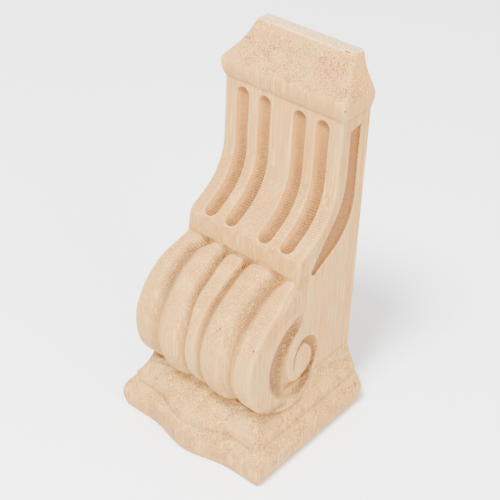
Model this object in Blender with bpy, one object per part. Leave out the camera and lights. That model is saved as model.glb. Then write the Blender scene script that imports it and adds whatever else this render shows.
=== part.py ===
"""Carved wooden shelf bracket: a scrolled corbel worked from one block of pale wood.

Units are metres and +Z is up. The wide moulded end stands on z = 0 with the origin in the
middle of its underside, the carved front looks along -Y and the flat back along +Y. The forms
are laid out from the plane of the back, as y = 0, and the finished solid is then moved.
"""

import math

import bpy
import bmesh

# Heights; the apron takes what the others leave
overall_height = 0.1650
base_height = 0.0290          # foot mouldings
scroll_rise = 0.0207          # scroll centre above the foot mouldings
ledge_rise = 0.0411           # ledge corner above the scroll centre
cap_height = 0.0216           # cap mouldings

# Body, a slab with a hollow front
body_width = 0.0572
neck_depth = 0.0175           # front of the apron under the cap
apron_lean = 0.0008           # how far the apron leans out before it curves
apron_radius = 0.024
ledge_depth = 0.0382
ledge_slope = math.radians(59)    # run of the apron at the ledge, from the vertical
ledge_round = 0.0050
ledge_face_height = 0.0085
ledge_face_lean = 0.0012
edge_round = 0.0012

# Scroll, a roll that stands a little wider than the body
scroll_depth = 0.0420         # centre of the roll in front of the wall plane
scroll_radius = 0.0273
scroll_proud = 0.0020         # roll beyond each side of the body
proud_depths = (0.024, 0.050) # the roll's sides stand out between these depths from the wall
scroll_sink = 0.0005          # roll inside the body's sides near the wall
proud_fade = 0.0080           # height under the ledge's face over which the sides come flush
scroll_round = 0.0018
crown_radius = 0.080          # gentle back of the roll up to the ledge
crown_start = math.radians(125.5)
tail_radius = 0.0195          # roll towards the wall, where it dies into the body
tail_angles = (math.radians(80), math.radians(48))       # crown shrinks to the tail, above
tail_rise = (math.radians(300), math.radians(350))       # and below
flare_proud = 0.0010          # rim over the foot's cove
flare_fade = 0.0050           # height over which the rim's flare sets in

# Relief across the roll
outer_groove_place = 0.0192
inner_groove_place = 0.0040
outer_groove_half = 0.0055
inner_groove_half = 0.0033
outer_groove_depth = 0.0032
inner_groove_depth = 0.0024
groove_fade = 0.55            # share of the depth that is lost towards the foot
fade_angles = (math.radians(130), math.radians(205))
groove_wall_power = 1.5       # above 1 the groove is narrower than a plain V
lobe_crown = 0.0015
rib_crown = 0.0002

# Flutes in the apron
flute_places = (-0.0194, -0.0085, 0.0085, 0.0194)
flute_radius = 0.0034
flute_depth = 0.0024
flute_top_gap = 0.0023
flute_foot_gap = 0.0004

# Sunk crescent in each side of the apron
strip_depth = 0.0010
strip_top_gap = 0.0063
strip_front_margin = 0.0057   # from the front of the neck
strip_rear_margin = 0.0053    # from the wall plane
strip_tip_depth = 0.0305
strip_tip_drop = 0.0103       # tip below the ledge corner
strip_front_bend = 0.0168     # bend of the front edge above the ledge corner
strip_rear_bend = 0.0022      # bend of the rear edge above the ledge corner
strip_front_radius = 0.032
strip_rear_radius = 0.022
strip_slant = 0.0012

# Volute groove in each side of the roll, round its eye, from the open end inwards:
# (angle from the wall's direction, outer edge, inner edge, depth)
eye_depth = 0.034             # eye in front of the wall plane
eye_height = 0.040
volute_turns = (
    (88, 0.0250, 0.0205, 0.0003),
    (100, 0.0270, 0.0175, 0.0016),
    (120, 0.0280, 0.0150, 0.0026),
    (150, 0.0256, 0.0119, 0.0028),
    (180, 0.0222, 0.0096, 0.0028),
    (215, 0.0186, 0.0088, 0.0028),
    (250, 0.0163, 0.0087, 0.0027),
    (290, 0.0146, 0.0086, 0.0026),
    (330, 0.0128, 0.0082, 0.0026),
    (370, 0.0122, 0.0073, 0.0026),
    (405, 0.0120, 0.0070, 0.0024),
    (432, 0.0109, 0.0076, 0.0022),
    (455, 0.0102, 0.0070, 0.0020),
    (480, 0.0083, 0.0056, 0.0018),
    (515, 0.0066, 0.0045, 0.0014),
    (560, 0.0056, 0.0046, 0.0006),
)
volute_lean = 1.4             # above 1 the groove's outer wall is gentler than its inner one
volute_floor_power = 0.8      # below 1 the groove's floor is flatter than half a wave

# Foot mouldings: (share of the base height, projection beyond the body)
foot_steps = (
    (0.00, 0.0080),
    (0.06, 0.0087),
    (0.15, 0.0093),
    (0.26, 0.0096),
    (0.37, 0.0091),
    (0.45, 0.0079),
    (0.50, 0.0062),
    (0.53, 0.0054),
    (0.63, 0.0050),
    (0.68, 0.0040),
    (0.76, 0.0027),
    (0.86, 0.0014),
    (1.00, 0.0000),
)
foot_depth = 0.0612           # front of the body where the foot mouldings grow from it
wave_half_width = 0.022       # middle of the foot's front swells forward
wave_low = 0.0038
wave_high = 0.0062
wave_top_share = 0.55
corner_round = 0.0012

# Cap mouldings: (share of the cap height, projection beyond the body's side, and beyond the neck)
cap_steps = (
    (0.00, 0.0002, 0.0003),
    (0.04, 0.0007, 0.0008),
    (0.10, 0.0011, 0.0012),
    (0.18, 0.0014, 0.0016),
    (0.28, 0.0015, 0.0018),
    (0.35, 0.0012, 0.0016),
    (0.39, 0.0007, 0.0008),
    (0.44, 0.0002, -0.0012),
    (0.51, -0.0009, -0.0036),
    (0.60, -0.0021, -0.0056),
    (0.72, -0.0034, -0.0074),
    (0.84, -0.0043, -0.0090),
    (0.93, -0.0049, -0.0104),
    (0.98, -0.0054, -0.0111),
    (1.00, -0.0060, -0.0117),
)

wood_color = (0.78, 0.64, 0.49, 1.0)
wood_roughness = 0.72

body_half = body_width / 2
scroll_height = base_height + scroll_rise
ledge_height = scroll_height + ledge_rise
neck_top = overall_height - cap_height
embed = 0.003                 # how far joined forms run into each other


def clear_scene():
    for old in list(bpy.data.objects):
        bpy.data.objects.remove(old, do_unlink=True)


def wood_material():
    material = bpy.data.materials.new("wood")
    material.use_nodes = True
    shader = material.node_tree.nodes["Principled BSDF"]
    shader.inputs["Base Color"].default_value = wood_color
    shader.inputs["Roughness"].default_value = wood_roughness
    shader.inputs["Metallic"].default_value = 0.0
    return material


def smoothstep(low, high, value):
    share = min(max((value - low) / (high - low), 0.0), 1.0)
    return share * share * (3 - 2 * share)


def bent_line(start, corner, end, radius, segments=9):
    """Points of a line from start to end whose corner is an arc, with their headings."""
    first = (corner[0] - start[0], corner[1] - start[1])
    second = (end[0] - corner[0], end[1] - corner[1])
    heading = math.atan2(first[1], first[0])
    turn = math.atan2(second[1], second[0]) - heading
    turn = math.atan2(math.sin(turn), math.cos(turn))
    room = 0.98 * min(math.hypot(*first), math.hypot(*second))
    setback = min(radius * math.tan(abs(turn) / 2), room)
    bend = setback / math.tan(abs(turn) / 2)
    side = math.copysign(1.0, turn)
    arc_start = (corner[0] - setback * math.cos(heading), corner[1] - setback * math.sin(heading))
    centre = (arc_start[0] - side * bend * math.sin(heading), arc_start[1] + side * bend * math.cos(heading))
    points = [(start[0], start[1], heading)]
    for step in range(segments + 1):
        angle = heading + turn * step / segments
        y = centre[0] + side * bend * math.sin(angle)
        z = centre[1] - side * bend * math.cos(angle)
        points.append((y, z, angle))
    points.append((end[0], end[1], heading + turn))
    return points


def apron_line():
    """Front of the apron, from under the cap down to the ledge corner."""
    front = neck_depth + apron_lean
    corner_rise = (ledge_depth - front) / math.tan(ledge_slope)
    corner = (-front, ledge_height + corner_rise)
    return bent_line((-neck_depth, neck_top), corner, (-ledge_depth, ledge_height), apron_radius)


def ledge_line():
    """Rounded corner from the end of the apron into the ledge's face."""
    corner = (-ledge_depth, ledge_height)
    foot = (-ledge_depth - ledge_face_lean, ledge_height - ledge_face_height)
    return bent_line(apron_line()[-2][:2], corner, foot, ledge_round, 4)


def walk(points, start_gap, end_gap, count):
    """Evenly spaced (y, z, heading) along a line of points, between two gaps from its ends."""
    lengths = [0.0]
    for before, after in zip(points, points[1:]):
        lengths.append(lengths[-1] + math.dist(before[:2], after[:2]))
    result = []
    for step in range(count):
        place = start_gap + (lengths[-1] - start_gap - end_gap) * step / (count - 1)
        index = max(i for i in range(len(points) - 1) if lengths[i] <= place or i == 0)
        span = lengths[index + 1] - lengths[index]
        share = (place - lengths[index]) / span
        before, after = points[index], points[index + 1]
        result.append(tuple(a + (b - a) * share for a, b in zip(before, after)))
    return result


def loft(name, rings):
    """A closed solid through rings of equal count, with its two ends capped."""
    mesh = bmesh.new()
    rows = [[mesh.verts.new(point) for point in ring] for ring in rings]
    count = len(rings[0])
    for lower, upper in zip(rows, rows[1:]):
        for i in range(count):
            j = (i + 1) % count
            mesh.faces.new((lower[i], lower[j], upper[j], upper[i]))
    mesh.faces.new(rows[0][::-1])
    mesh.faces.new(rows[-1])
    bmesh.ops.recalc_face_normals(mesh, faces=mesh.faces)
    return finish_mesh(name, mesh)


def finish_mesh(name, mesh):
    data = bpy.data.meshes.new(name)
    mesh.to_mesh(data)
    mesh.free()
    solid = bpy.data.objects.new(name, data)
    bpy.context.collection.objects.link(solid)
    return solid


def combine(target, tool, operation):
    """Apply one exact Boolean to the target and remove the tool."""
    modifier = target.modifiers.new("combine", "BOOLEAN")
    modifier.operation = operation
    modifier.solver = "EXACT"
    modifier.object = tool
    depsgraph = bpy.context.evaluated_depsgraph_get()
    data = bpy.data.meshes.new_from_object(target.evaluated_get(depsgraph))
    target.modifiers.clear()
    target.data = data
    bpy.data.objects.remove(tool, do_unlink=True)


def body():
    """The slab: side profile of apron, ledge and hidden core, across the body's width."""
    profile = [(0.0, base_height / 2), (0.0, neck_top + embed), (-neck_depth, neck_top + embed)]
    profile += [(y, z) for y, z, heading in apron_line()[:-1]]
    profile += [(y, z) for y, z, heading in ledge_line()[1:]]
    profile += [(-scroll_depth, scroll_height), (-scroll_depth, base_height / 2)]
    rings = [[(x, y, z) for y, z in profile] for x in (-body_half, body_half)]
    solid = loft("corbel", rings)
    mesh = bmesh.new()
    mesh.from_mesh(solid.data)
    soft = [edge for edge in mesh.edges if is_apron_edge(edge)]
    bmesh.ops.bevel(mesh, geom=soft, offset=edge_round, segments=2, profile=0.5, affect="EDGES")
    mesh.to_mesh(solid.data)
    mesh.free()
    return solid


def is_apron_edge(edge):
    """True for the edges where the apron and the ledge meet the body's sides."""
    first, second = (vert.co for vert in edge.verts)
    on_side = abs(first.x - second.x) < body_half
    in_front = max(first.y, second.y) <= -neck_depth
    return on_side and in_front and min(first.z, second.z) > scroll_height + embed


def foot_projection(height):
    """Projection of the foot mouldings beyond the body at a height above the floor."""
    share = height / base_height
    for (low, near), (high, far) in zip(foot_steps, foot_steps[1:]):
        if low <= share <= high:
            return near + (far - near) * (share - low) / (high - low)
    return 0.0


def roll_outline(angle):
    """Radius of the roll seen from the side; 0 looks at the wall, half a turn to the front."""
    if angle > crown_start:
        sink = smoothstep(*tail_rise, angle)
        return scroll_radius + (tail_radius - scroll_radius) * sink
    start_y = math.cos(crown_start)
    start_z = math.sin(crown_start)
    shift = crown_radius - scroll_radius
    centre_y = -shift * start_y
    centre_z = -shift * start_z
    along = centre_y * math.cos(angle) + centre_z * math.sin(angle)
    across = centre_y ** 2 + centre_z ** 2 - along ** 2
    crown = along + math.sqrt(max(crown_radius ** 2 - across, 0.0))
    back = smoothstep(*tail_angles, angle)
    return crown + (tail_radius - crown) * back


def roll_side(y, z):
    """Half width of the roll at a point of its side face."""
    face_foot = ledge_height - ledge_face_height
    low = smoothstep(face_foot, face_foot - proud_fade, z)
    proud = (scroll_proud + scroll_sink) * smoothstep(*proud_depths, -y) * low - scroll_sink
    near_foot = smoothstep(base_height + flare_fade, base_height - flare_fade, z)
    flare = foot_projection(z) + (flare_proud + scroll_sink) * near_foot - scroll_sink
    return body_half + max(proud, flare)


def relief(x, angle):
    """Height of the carved lobes, rib and grooves at a place across the front of the roll."""
    place = abs(x)
    height = 0.0
    strength = 1 - groove_fade * smoothstep(*fade_angles, angle)
    grooves = (
        (outer_groove_place, outer_groove_half, outer_groove_depth),
        (inner_groove_place, inner_groove_half, inner_groove_depth),
    )
    for centre, half, depth in grooves:
        gap = abs(place - centre) / half
        if gap < 1:
            height -= strength * depth * (1 - gap) ** groove_wall_power
    if inner_groove_place < place < outer_groove_place:
        share = (place - inner_groove_place) / (outer_groove_place - inner_groove_place)
        height += lobe_crown * math.sin(math.pi * share)
    if place < inner_groove_place:
        height += rib_crown * math.cos(math.pi / 2 * place / inner_groove_place)
    return height


def roll_columns():
    """Places across half the roll's front, as (from the middle, from the side edge)."""
    half = [0.0]
    half += [inner_groove_place + step * inner_groove_half for step in (-0.85, -0.45, 0, 0.45, 1)]
    half += [outer_groove_place + step * outer_groove_half for step in (-1, -0.65, -0.3, 0, 0.3, 0.6, 0.9)]
    lobe_start = inner_groove_place + inner_groove_half
    lobe_end = outer_groove_place - outer_groove_half
    half += [lobe_start + (lobe_end - lobe_start) * step / 4 for step in (1, 2, 3)]
    columns = [(place, None) for place in sorted(half)]
    columns += [(None, scroll_round * step) for step in (1.6, 1.0, 0.62, 0.3, 0.08, 0.0)]
    return columns


def scroll_roll():
    """The roll with its lobes: relief across the front and flared side faces."""
    turns = 56
    inner_rings = (0.92, 0.84, 0.76, 0.66, 0.56, 0.45, 0.33, 0.20)
    mesh = bmesh.new()
    columns = roll_columns()
    places = [(-1, column) for column in columns[:0:-1]] + [(1, column) for column in columns]
    rows = []
    for turn in range(turns):
        angle = math.tau * turn / turns
        radius = roll_outline(angle)
        side = roll_side(-scroll_depth + radius * math.cos(angle), scroll_height + radius * math.sin(angle))
        row = []
        for sign, (middle, edge) in places:
            x = middle if edge is None else side - edge
            drop = 0.0
            if edge is not None and edge < scroll_round:
                drop = scroll_round - math.sqrt(scroll_round ** 2 - (scroll_round - edge) ** 2)
            reach = radius + relief(x, angle) - drop
            y = -scroll_depth + reach * math.cos(angle)
            z = scroll_height + reach * math.sin(angle)
            row.append(mesh.verts.new((sign * x, y, z)))
        rows.append(row)
    for turn in range(turns):
        row, following = rows[turn], rows[(turn + 1) % turns]
        for i in range(len(row) - 1):
            mesh.faces.new((row[i], following[i], following[i + 1], row[i + 1]))
    for sign, index in ((-1, 0), (1, -1)):
        outer = [row[index] for row in rows]
        for share in inner_rings:
            inner = []
            for turn in range(turns):
                angle = math.tau * turn / turns
                reach = share * (roll_outline(angle) - scroll_round)
                y = -scroll_depth + reach * math.cos(angle)
                z = scroll_height + reach * math.sin(angle)
                inner.append(mesh.verts.new((sign * roll_side(y, z), y, z)))
            for turn in range(turns):
                after = (turn + 1) % turns
                mesh.faces.new((outer[turn], inner[turn], inner[after], outer[after]))
            outer = inner
        mesh.faces.new(outer)
    bmesh.ops.recalc_face_normals(mesh, faces=mesh.faces)
    return finish_mesh("roll", mesh)


def mould_ring(half_width, depth, height, wave=0.0):
    """One level of a moulding: flat back on the wall, round front corners, waved front."""
    ring = [(half_width, 0.0, height), (half_width, -(depth - corner_round) / 2, height)]
    for step in range(4):
        angle = -math.pi / 2 * step / 3
        x = half_width - corner_round * (1 - math.cos(angle))
        y = -depth + corner_round * (1 + math.sin(angle))
        ring.append((x, y, height))
    steps = 18
    inner = half_width - corner_round
    for step in range(1, steps):
        x = inner * (1 - 2 * step / steps)
        swell = 0.0
        if abs(x) < wave_half_width:
            swell = wave * math.cos(math.pi / 2 * x / wave_half_width) ** 2
        ring.append((x, -depth - swell, height))
    mirrored = [(-x, y, z) for x, y, z in ring[5:1:-1]]
    ring += mirrored + [(-half_width, -(depth - corner_round) / 2, height), (-half_width, 0.0, height)]
    return ring


def foot():
    """Foot mouldings: bulging band, fillet and cove, with the swelling front."""
    rings = []
    for share, projection in foot_steps:
        rise = wave_low + (wave_high - wave_low) * min(share / wave_top_share, 1.0)
        wave = rise * (1 - smoothstep(wave_top_share, 1.0, share))
        rings.append(mould_ring(body_half + projection, foot_depth + projection, base_height * share, wave))
    rings.append(mould_ring(body_half - embed, foot_depth - embed, base_height + embed / 2))
    return loft("foot", rings)


def cap():
    """Cap mouldings: small roll under a three-sided hollow slope with a flat top."""
    rings = [mould_ring(body_half - embed, neck_depth - embed, neck_top - embed / 2)]
    for share, beyond_side, beyond_neck in cap_steps:
        height = neck_top + cap_height * share
        rings.append(mould_ring(body_half + beyond_side, neck_depth + beyond_neck, height))
    return loft("cap", rings)


def flute(place):
    """A round-ended cutter that follows the apron."""
    sides = 14
    lift = flute_radius - flute_depth
    path = walk(apron_line(), flute_top_gap + flute_radius, flute_foot_gap + flute_radius, 15)
    end_angles = (math.radians(70), math.radians(45))
    stations = [(path[0], -angle) for angle in end_angles]
    stations += [(station, 0.0) for station in path]
    stations += [(path[-1], angle) for angle in end_angles[::-1]]
    rings = []
    for (y, z, heading), angle in stations:
        ahead = flute_radius * math.sin(angle)
        radius = flute_radius * math.cos(angle)
        centre_y = y + math.sin(heading) * lift + math.cos(heading) * ahead
        centre_z = z - math.cos(heading) * lift + math.sin(heading) * ahead
        ring = []
        for side in range(sides):
            around = math.tau * side / sides
            out = radius * math.cos(around)
            across = radius * math.sin(around)
            ring.append((place + across, centre_y + math.sin(heading) * out, centre_z - math.cos(heading) * out))
        rings.append(ring)
    return loft("flute_cutter", rings)


def strip(sign):
    """A shallow crescent cutter for one side of the apron."""
    front = neck_depth - strip_front_margin
    top = neck_top - strip_top_gap
    tip = (-strip_tip_depth, ledge_height - strip_tip_drop)
    front_corner = (-front, ledge_height + strip_front_bend)
    rear_corner = (-strip_rear_margin, ledge_height + strip_rear_bend)
    front_line = bent_line((-front, top), front_corner, tip, strip_front_radius)
    rear_line = bent_line((-strip_rear_margin, top + strip_slant), rear_corner, tip, strip_rear_radius)
    outline = [(y, z) for y, z, heading in front_line] + [(y, z) for y, z, heading in rear_line[-2::-1]]
    near, far = body_half - strip_depth, body_half + embed
    return loft("strip_cutter", [[(sign * x, y, z) for y, z in outline] for x in (near, far)])


def volute_at(angle):
    """Outer edge, inner edge and depth of the volute groove at an angle in degrees."""
    for (start, *near), (end, *far) in zip(volute_turns, volute_turns[1:]):
        if start <= angle <= end:
            share = (angle - start) / (end - start)
            return [a + (b - a) * share for a, b in zip(near, far)]


def volute(sign):
    """A cutter for the volute groove in one side of the roll."""
    stations = 46
    across = 8
    first, last = volute_turns[0][0], volute_turns[-1][0]
    rings = []
    for station in range(stations):
        angle = first + (last - first) * station / (stations - 1)
        outer, inner, depth = volute_at(angle)
        cos_turn, sin_turn = math.cos(math.radians(angle)), math.sin(math.radians(angle))
        ring = []
        for step in range(across + 1):
            share = step / across
            reach = outer + (inner - outer) * share
            y = -eye_depth + reach * cos_turn
            z = eye_height + reach * sin_turn
            surface = max(roll_side(y, z), body_half)
            sunk = depth * max(math.sin(math.pi * share ** volute_lean), 0.0) ** volute_floor_power
            ring.append((sign * (surface - sunk), y, z))
        for reach in (inner, outer):
            y = -eye_depth + reach * cos_turn
            z = eye_height + reach * sin_turn
            ring.append((sign * (max(roll_side(y, z), body_half) + embed), y, z))
        rings.append(ring)
    return loft("volute_cutter", rings)


def build():
    clear_scene()
    solid = body()
    for join in (foot(), cap(), scroll_roll()):
        combine(solid, join, "UNION")
    for place in flute_places:
        combine(solid, flute(place), "DIFFERENCE")
    for sign in (-1, 1):
        combine(solid, strip(sign), "DIFFERENCE")
        combine(solid, volute(sign), "DIFFERENCE")
    solid.data.materials.clear()
    solid.data.materials.append(wood_material())
    solid.location.y = -min(vert.co.y for vert in solid.data.vertices) / 2
    solid.data.shade_smooth()
    solid.data.set_sharp_from_angle(angle=math.radians(35))


build()
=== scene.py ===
import math

import bmesh
import bpy
import numpy as np
from mathutils import Matrix, Vector
from mathutils.bvhtree import BVHTree


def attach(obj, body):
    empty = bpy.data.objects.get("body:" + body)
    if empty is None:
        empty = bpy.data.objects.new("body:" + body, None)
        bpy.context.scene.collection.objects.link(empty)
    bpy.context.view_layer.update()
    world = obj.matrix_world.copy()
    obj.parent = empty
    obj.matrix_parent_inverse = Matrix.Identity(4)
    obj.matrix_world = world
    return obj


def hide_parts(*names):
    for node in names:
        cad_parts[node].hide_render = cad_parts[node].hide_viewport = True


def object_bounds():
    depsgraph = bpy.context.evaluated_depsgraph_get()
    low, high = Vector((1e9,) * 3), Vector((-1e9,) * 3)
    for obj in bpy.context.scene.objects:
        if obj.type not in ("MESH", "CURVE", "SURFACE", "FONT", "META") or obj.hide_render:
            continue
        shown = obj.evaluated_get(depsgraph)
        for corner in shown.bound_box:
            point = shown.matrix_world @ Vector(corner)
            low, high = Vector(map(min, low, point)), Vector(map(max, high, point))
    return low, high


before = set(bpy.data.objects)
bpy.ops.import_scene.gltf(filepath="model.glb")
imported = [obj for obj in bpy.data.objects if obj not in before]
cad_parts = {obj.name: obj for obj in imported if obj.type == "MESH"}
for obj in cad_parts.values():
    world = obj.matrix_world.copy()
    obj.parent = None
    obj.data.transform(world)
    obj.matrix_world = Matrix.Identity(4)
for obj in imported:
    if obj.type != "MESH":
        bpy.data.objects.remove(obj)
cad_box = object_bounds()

# Carved wooden shelf bracket, laid out in millimetres from its flat back (y = 0) and underside (z = 0)

MM = 0.001
back_y = cad_box[1][1] / MM

# Main sizes
overall_height = 165.0
base_height = 29.0
scroll_height = base_height + 20.7
ledge_height = scroll_height + 41.1
cap_height = 21.6
neck_top = overall_height - cap_height
body_half = 28.6
neck_depth = 17.5
apron_lean = 0.8
apron_radius = 24.0
ledge_depth = 38.2
ledge_slope = math.radians(59)
ledge_round = 5.0
ledge_face_height = 8.5
ledge_face_lean = 1.2
edge_round = 1.1

# Scroll roll
scroll_depth = 42.0
scroll_radius = 27.3
scroll_proud = 2.0
proud_depths = (24.0, 50.0)
scroll_sink = 0.5
proud_fade = 8.0
scroll_round = 1.7
crown_radius = 80.0
crown_start = math.radians(125.5)
tail_radius = 19.5
tail_angles = (math.radians(80), math.radians(48))
tail_rise = (math.radians(300), math.radians(350))
flare_proud = 1.0
flare_fade = 5.0

# Relief across the roll: (place, width of the wall towards the middle, of the other wall, depth)
outer_groove = (19.2, 5.5, 4.8, 3.2)
inner_groove = (4.0, 2.3, 3.3, 2.4)
groove_fade = 0.55
fade_angles = (math.radians(130), math.radians(205))
groove_wall_power = 1.5
soft_angles = (math.radians(130), math.radians(185))
lobe_crown = 1.6
rib_crown = 0.5

# Sideways bends of the grooves over the top of the roll: (shift, angle of no shift, angle of full shift)
outer_left_bends = ((1.2, 150, 115), (-3.2, 98, 87))
outer_right_bends = ((1.2, 95, 86),)
inner_left_bends = ((1.7, 158, 128), (0.7, 118, 96))

# Rounded tops of the lobes and the rib against the ledge: angles at which they start to fall
top_fall = 1.7
top_start_middle = 88.3
top_start_side = 94.0
top_length = 4.5
top_margin = 2.0

# Flutes, crescents and volutes
flute_places = (-19.4, -8.5, 8.5, 19.4)
flute_radius = 3.4
flute_depth = 2.4
flute_edge = 0.5
flute_top_gap = 2.3
flute_foot_gap = 0.4
flute_foot_fade = 0.9
strip_depth = 1.0
strip_top = neck_top - 6.3
strip_front = neck_depth - 5.7
strip_rear = 5.3
strip_slant = 1.2

# Lower end of the crescent: the corners (y, z) of its two edges with their radii, and its blunt tip
strip_front_corner = (-strip_front, ledge_height + 16.8)
strip_front_radius = 32.0
strip_rear_corner = (-strip_rear, ledge_height + 1.6)
strip_rear_radius = 22.0
strip_front_tip = (-30.8, ledge_height - 8.1)
strip_middle_tip = (-30.1, ledge_height - 10.1)
strip_rear_tip = (-28.2, ledge_height - 10.9)

# Volute groove about its eye: (angle, outer edge, inner edge, depth)
eye_depth = 34.0
eye_height = 40.0
volute_turns = (
    (88, 25.0, 20.5, 0.3), (100, 27.0, 17.5, 1.6), (120, 28.0, 15.0, 2.6), (150, 25.6, 11.9, 2.8),
    (180, 22.2, 9.6, 2.8), (215, 18.6, 8.8, 2.8), (250, 16.3, 8.7, 2.7), (290, 14.6, 8.6, 2.6),
    (330, 12.8, 8.2, 2.6), (370, 12.2, 7.3, 2.6), (405, 12.0, 7.0, 2.4), (432, 10.9, 7.6, 2.2),
    (455, 10.2, 7.0, 2.0), (480, 8.3, 5.6, 1.8), (515, 6.6, 4.5, 1.4), (560, 5.6, 4.6, 0.6),
)
volute_lean = 1.4
volute_floor_power = 0.8
eye_radius = 6.4
eye_dome = 0.7
eye_shift = 1.0
side_start = 24.0

# Dark ground of the volute groove: (angle, depth of tone, share of the groove that it covers)
volute_tones = (
    (92, 0.3, 0.9), (103, 1.0, 1.0), (140, 1.0, 0.9), (190, 1.0, 0.8), (212, 0.8, 0.6), (228, 0.0, 0.4),
    (252, 0.6, 0.5), (280, 1.0, 0.7), (335, 1.0, 0.8), (370, 0.6, 0.9), (440, 0.6, 1.0), (560, 0.3, 1.0),
)

# Foot moulding, as (share of its height, distance beyond the body), with its waved front
foot_steps = (
    (0.00, 8.0), (0.06, 8.7), (0.15, 9.3), (0.26, 9.6), (0.37, 9.1), (0.45, 7.9), (0.50, 6.2),
    (0.53, 5.4), (0.63, 5.0), (0.68, 4.0), (0.76, 2.7), (0.86, 1.4), (1.00, 0.0),
)
foot_depth = 61.2
wave_half_width = 22.0
wave_low = 3.8
wave_high = 6.2
wave_top_share = 0.55

# Cap moulding, as (share of its height, distance beyond the body's side, beyond the neck)
corner_round = 1.2
cap_top_round = 2.4
cap_round_start = 0.45
cap_steps = (
    (0.00, 0.2, 0.3), (0.04, 0.7, 0.8), (0.10, 1.1, 1.2), (0.18, 1.4, 1.6), (0.28, 1.5, 1.8),
    (0.35, 1.2, 1.6), (0.39, 0.7, 0.8), (0.44, 0.2, -1.2), (0.51, -0.9, -3.6), (0.60, -2.1, -5.6),
    (0.72, -3.4, -7.4), (0.84, -4.3, -9.0), (0.93, -4.9, -10.4), (0.98, -5.4, -11.1), (1.00, -6.0, -11.7),
)

# Overlap of the cap, body, roll and foot before they are fused, and of each cutter with the air outside
embed = 3.0

# Fine hatch left by the carving tool, across the roll and the apron
hatch_pitch = 1.0
hatch_slant = 0.12
hatch_sway = 0.6
hatch_depth = 0.036
arc_per_degree = 0.52

# Other unevenness: ripples in the flutes, rough grounds, and slow waves as (height, size, seed)
ripple_pitch = 1.25
ripple_sway = 0.4
ripple_depth = 0.045
rough_depth = 0.10
slow_waves = ((0.10, 14.0, 7), (0.05, 5.0, 8))
flat_margin = 0.3
flat_share = 0.2

# Glue line across the sides, which leans forward below a height, and the seam above the foot
glue_place = 28.0
glue_bend = 22.0
glue_lean = 0.26
seam_rise = 0.3
line_core = 0.08
line_edge = 0.30

# Small dark marks on the surface: (place, radius, depth of tone)
small_marks = (
    ((29.8, -18.8, 149.0), 0.65, 0.8),
    ((22.8, -18.0, 120.9), 0.55, 0.7),
    ((22.8, -18.0, 120.1), 0.55, 0.7),
    ((12.3, -65.3, 66.5), 0.75, 0.7),
    ((11.3, -65.8, 65.3), 0.60, 0.6),
    ((28.9, -65.0, 64.4), 0.65, 0.8),
    ((37.4, -3.7, 12.4), 0.60, 0.8),
    ((37.4, -3.9, 11.6), 0.60, 0.8),
    ((37.4, -4.1, 10.8), 0.60, 0.7),
    ((18.8, -5.9, 165.0), 0.50, 0.7),
    ((19.5, -5.9, 165.0), 0.55, 0.9),
    ((20.2, -5.9, 165.0), 0.55, 0.9),
    ((20.9, -5.9, 165.0), 0.50, 0.8),
    ((31.0, -33.2, 43.1), 0.50, 0.5),
    ((31.0, -32.0, 41.3), 0.45, 0.5),
    ((31.0, -33.4, 38.2), 0.45, 0.5),
)

# Tones of the bare wood and of its marks, and of its painted shade and highlights
pale = (0.50, 0.272, 0.076)
tan = (0.34, 0.148, 0.029)
pink = (0.43, 0.205, 0.064)
grey = (0.43, 0.262, 0.088)
warm = (0.52, 0.255, 0.050)
cream_and_edge_highlight = (0.76, 0.50, 0.185)
# The painted highlight on the top face
top_highlight = (0.78, 0.56, 0.33)
amber = (0.41, 0.170, 0.028)
rust = (0.245, 0.088, 0.015)
brown_and_shade = (0.10, 0.028, 0.0045)
umber_and_shade = (0.085, 0.034, 0.012)
black = (0.020, 0.009, 0.004)

# Patches of tone: (size along x, y and z, place in the noise, start, full, strength, tone)
patches = (
    ((0.9, 0.9, 26), (8, 3, 1), 0.48, 0.68, 0.45, cream_and_edge_highlight),
    ((15, 15, 24), (9, 2, 4), 0.45, 0.68, 0.55, pink),
    ((8, 8, 30), (6, 5, 8), 0.52, 0.70, 0.55, warm),
    ((11, 11, 20), (2, 7, 3), 0.50, 0.68, 0.70, grey),
)

# Zones of the roll's finish: angles in degrees from the wall over the top, and the least reach of its front
front_angles = (70, 290)
front_reach = 20.0
# Angles of the painted shade under the roll, where it meets the foot
under_roll_shade_angles = (195, 262)
hatch_press_fade = (200, 110)
hatch_tone_fade = (190, 110)
groove_tone_fade = (115, 175)

# Fine mesh
voxel = 0.44
soft_passes = 2
most_triangles = 190000
roll_turns = 210
roll_column = 0.45
roll_columns = 56
round_steps = 5
side_rings = 24
side_ring_shares = (0.97, 0.10)
corner_steps = 6
front_steps = 72

# Whole numbers that scatter the lattice of the noise
lattice_primes = (73856093, 19349663, 83492791)
seed_prime = 2654435761
spread_prime = 1274126177

# Camera: direction and roll in degrees, distance and target as shares of the height, lens in mm
camera_angles = (39.0, 35.6, 2.07)
camera_distance = 2.89
camera_target = (-0.003, -0.2, 0.488)
sensor_size = 36.0
focal_length = 1192.5 / 500 * sensor_size


def smoothstep(low, high, value):
    share = np.clip((value - low) / (high - low), 0.0, 1.0)
    return share * share * (3 - 2 * share)


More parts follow.
